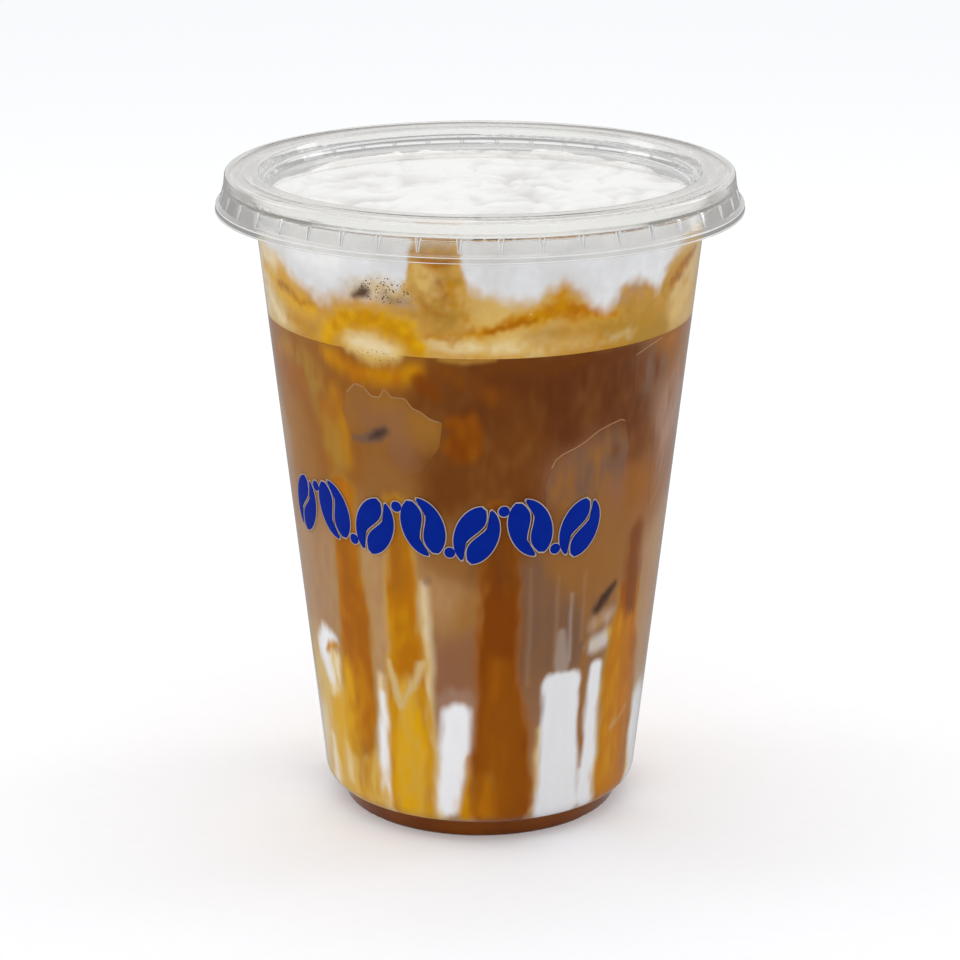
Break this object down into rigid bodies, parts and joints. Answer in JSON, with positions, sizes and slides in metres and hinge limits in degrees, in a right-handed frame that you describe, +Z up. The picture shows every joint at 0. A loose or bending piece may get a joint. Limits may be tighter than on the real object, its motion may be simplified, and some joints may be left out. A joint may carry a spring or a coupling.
{
  "type": "iced caramel latte",
  "caption": "Iced caramel latte in a clear tapered takeaway cup with a flat crimped lid; milk, coffee, caramel cream and foam layers.",
  "frame": {"origin": "middle of the foot's underside, on the surface the cup stands on", "axes": "+Z up along the cup's axis; the printed side faces -Y"},
  "size_m": [0.102, 0.102, 0.1278],
  "materials": {
    "cup_plastic": "clear, polished",
    "lid_plastic": "clear, polished",
    "syrup": "dark coffee and syrup behind the plastic",
    "milk": "milk streaked with caramel",
    "coffee": "milky coffee",
    "caramel_cream": "cream stained with caramel",
    "foam": "soft curdled foam"
  },
  "bodies": {
    "root": {"cup": "cup_plastic", "lid": "lid_plastic", "syrup": "syrup", "milk": "milk", "coffee": "coffee", "caramel_cream": "caramel_cream", "foam": "foam"}
  },
  "joints": []
}
